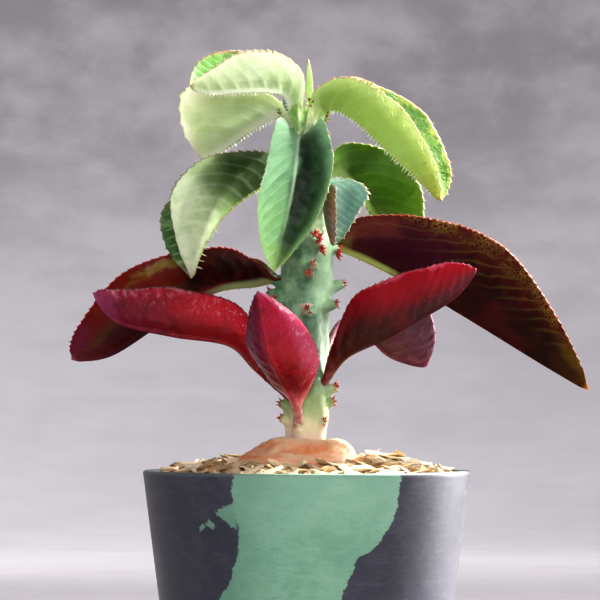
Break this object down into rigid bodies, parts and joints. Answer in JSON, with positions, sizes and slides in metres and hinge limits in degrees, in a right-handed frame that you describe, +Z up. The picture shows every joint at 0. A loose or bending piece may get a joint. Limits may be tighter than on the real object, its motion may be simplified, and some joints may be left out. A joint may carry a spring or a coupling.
{
  "type": "potted euphorbia magnifica",
  "caption": "Potted succulent with a spiny angled stem on a swollen base, folded toothed green and red leaves, stone chips and a plain tapered pot.",
  "frame": {"origin": "middle of the pot's flat underside, on the surface it stands on", "axes": "+Z up the stem; the side of the plant that the picture shows faces -Y, with +X to its right"},
  "size_m": [0.1462, 0.1015, 0.2025],
  "materials": {
    "pot": "matt slate grey with a sage green patch, satin at the side",
    "soil": "dark crumbly potting mix",
    "chips": "dry, rough, broken faces",
    "caudex": "smooth corky skin, orange tan",
    "stem": "waxy blue green, red spines",
    "leaf_pale_green": "satin, thin enough to glow against light",
    "leaf_green": "satin with pale veins",
    "leaf_crimson": "glossy crimson underside",
    "leaf_wine": "satin dark red with yellow green veins"
  },
  "bodies": {
    "root": {"pot": "pot", "soil": "soil", "top_dressing": "chips", "caudex": "caudex", "stem": "stem", "leaf_crown_left": "leaf_pale_green", "leaf_crown_left_rear": "leaf_pale_green", "leaf_crown_right": "leaf_pale_green", "young_leaf_upright": "leaf_pale_green", "leaf_front": "leaf_green", "leaf_upper_left": "leaf_green", "leaf_upper_right_rear": "leaf_green", "leaf_small_right": "leaf_green", "leaf_rear": "leaf_green", "red_leaf_left_rear": "leaf_wine", "red_leaf_left_front": "leaf_crimson", "red_leaf_front": "leaf_crimson", "red_leaf_right_front": "leaf_crimson", "red_leaf_right_rear": "leaf_crimson", "red_leaf_right_large": "leaf_wine", "red_leaf_rear": "leaf_wine"}
  },
  "joints": []
}
